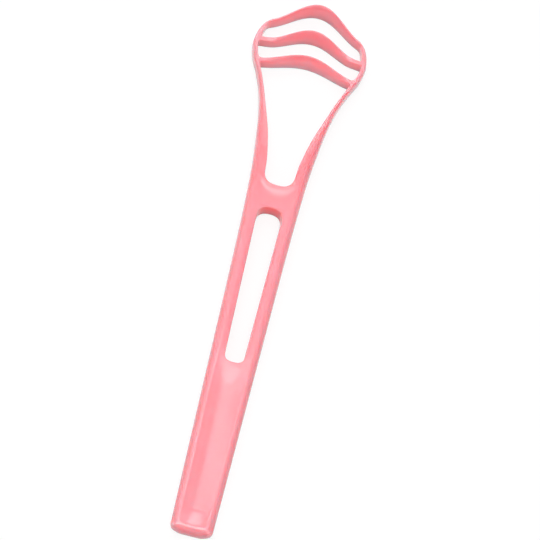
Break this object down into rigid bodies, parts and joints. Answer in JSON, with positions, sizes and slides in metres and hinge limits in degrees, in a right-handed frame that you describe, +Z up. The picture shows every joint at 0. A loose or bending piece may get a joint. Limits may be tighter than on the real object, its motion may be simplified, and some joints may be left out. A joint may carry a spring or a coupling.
{
  "type": "tongue scraper",
  "caption": "One-piece moulded plastic tongue scraper: dished grip, slotted shank, and a forked oval head with arched blades between thin rims.",
  "frame": {"origin": "on the surface it lies on, under the middle of the whole length and width", "axes": "+Y from the grip to the head, +Z up out of the dished face, +X to the right seen from above with the head away"},
  "size_m": [0.0318, 0.153, 0.0054],
  "materials": {
    "pink_plastic": "glossy, slightly translucent pink moulding"
  },
  "bodies": {
    "root": {"grip": "pink_plastic", "left_rail": "pink_plastic", "right_rail": "pink_plastic", "bridge": "pink_plastic", "left_arm": "pink_plastic", "right_arm": "pink_plastic", "left_head_rim": "pink_plastic", "right_head_rim": "pink_plastic", "upper_blade": "pink_plastic", "middle_blade": "pink_plastic", "lower_blade": "pink_plastic"}
  },
  "joints": []
}
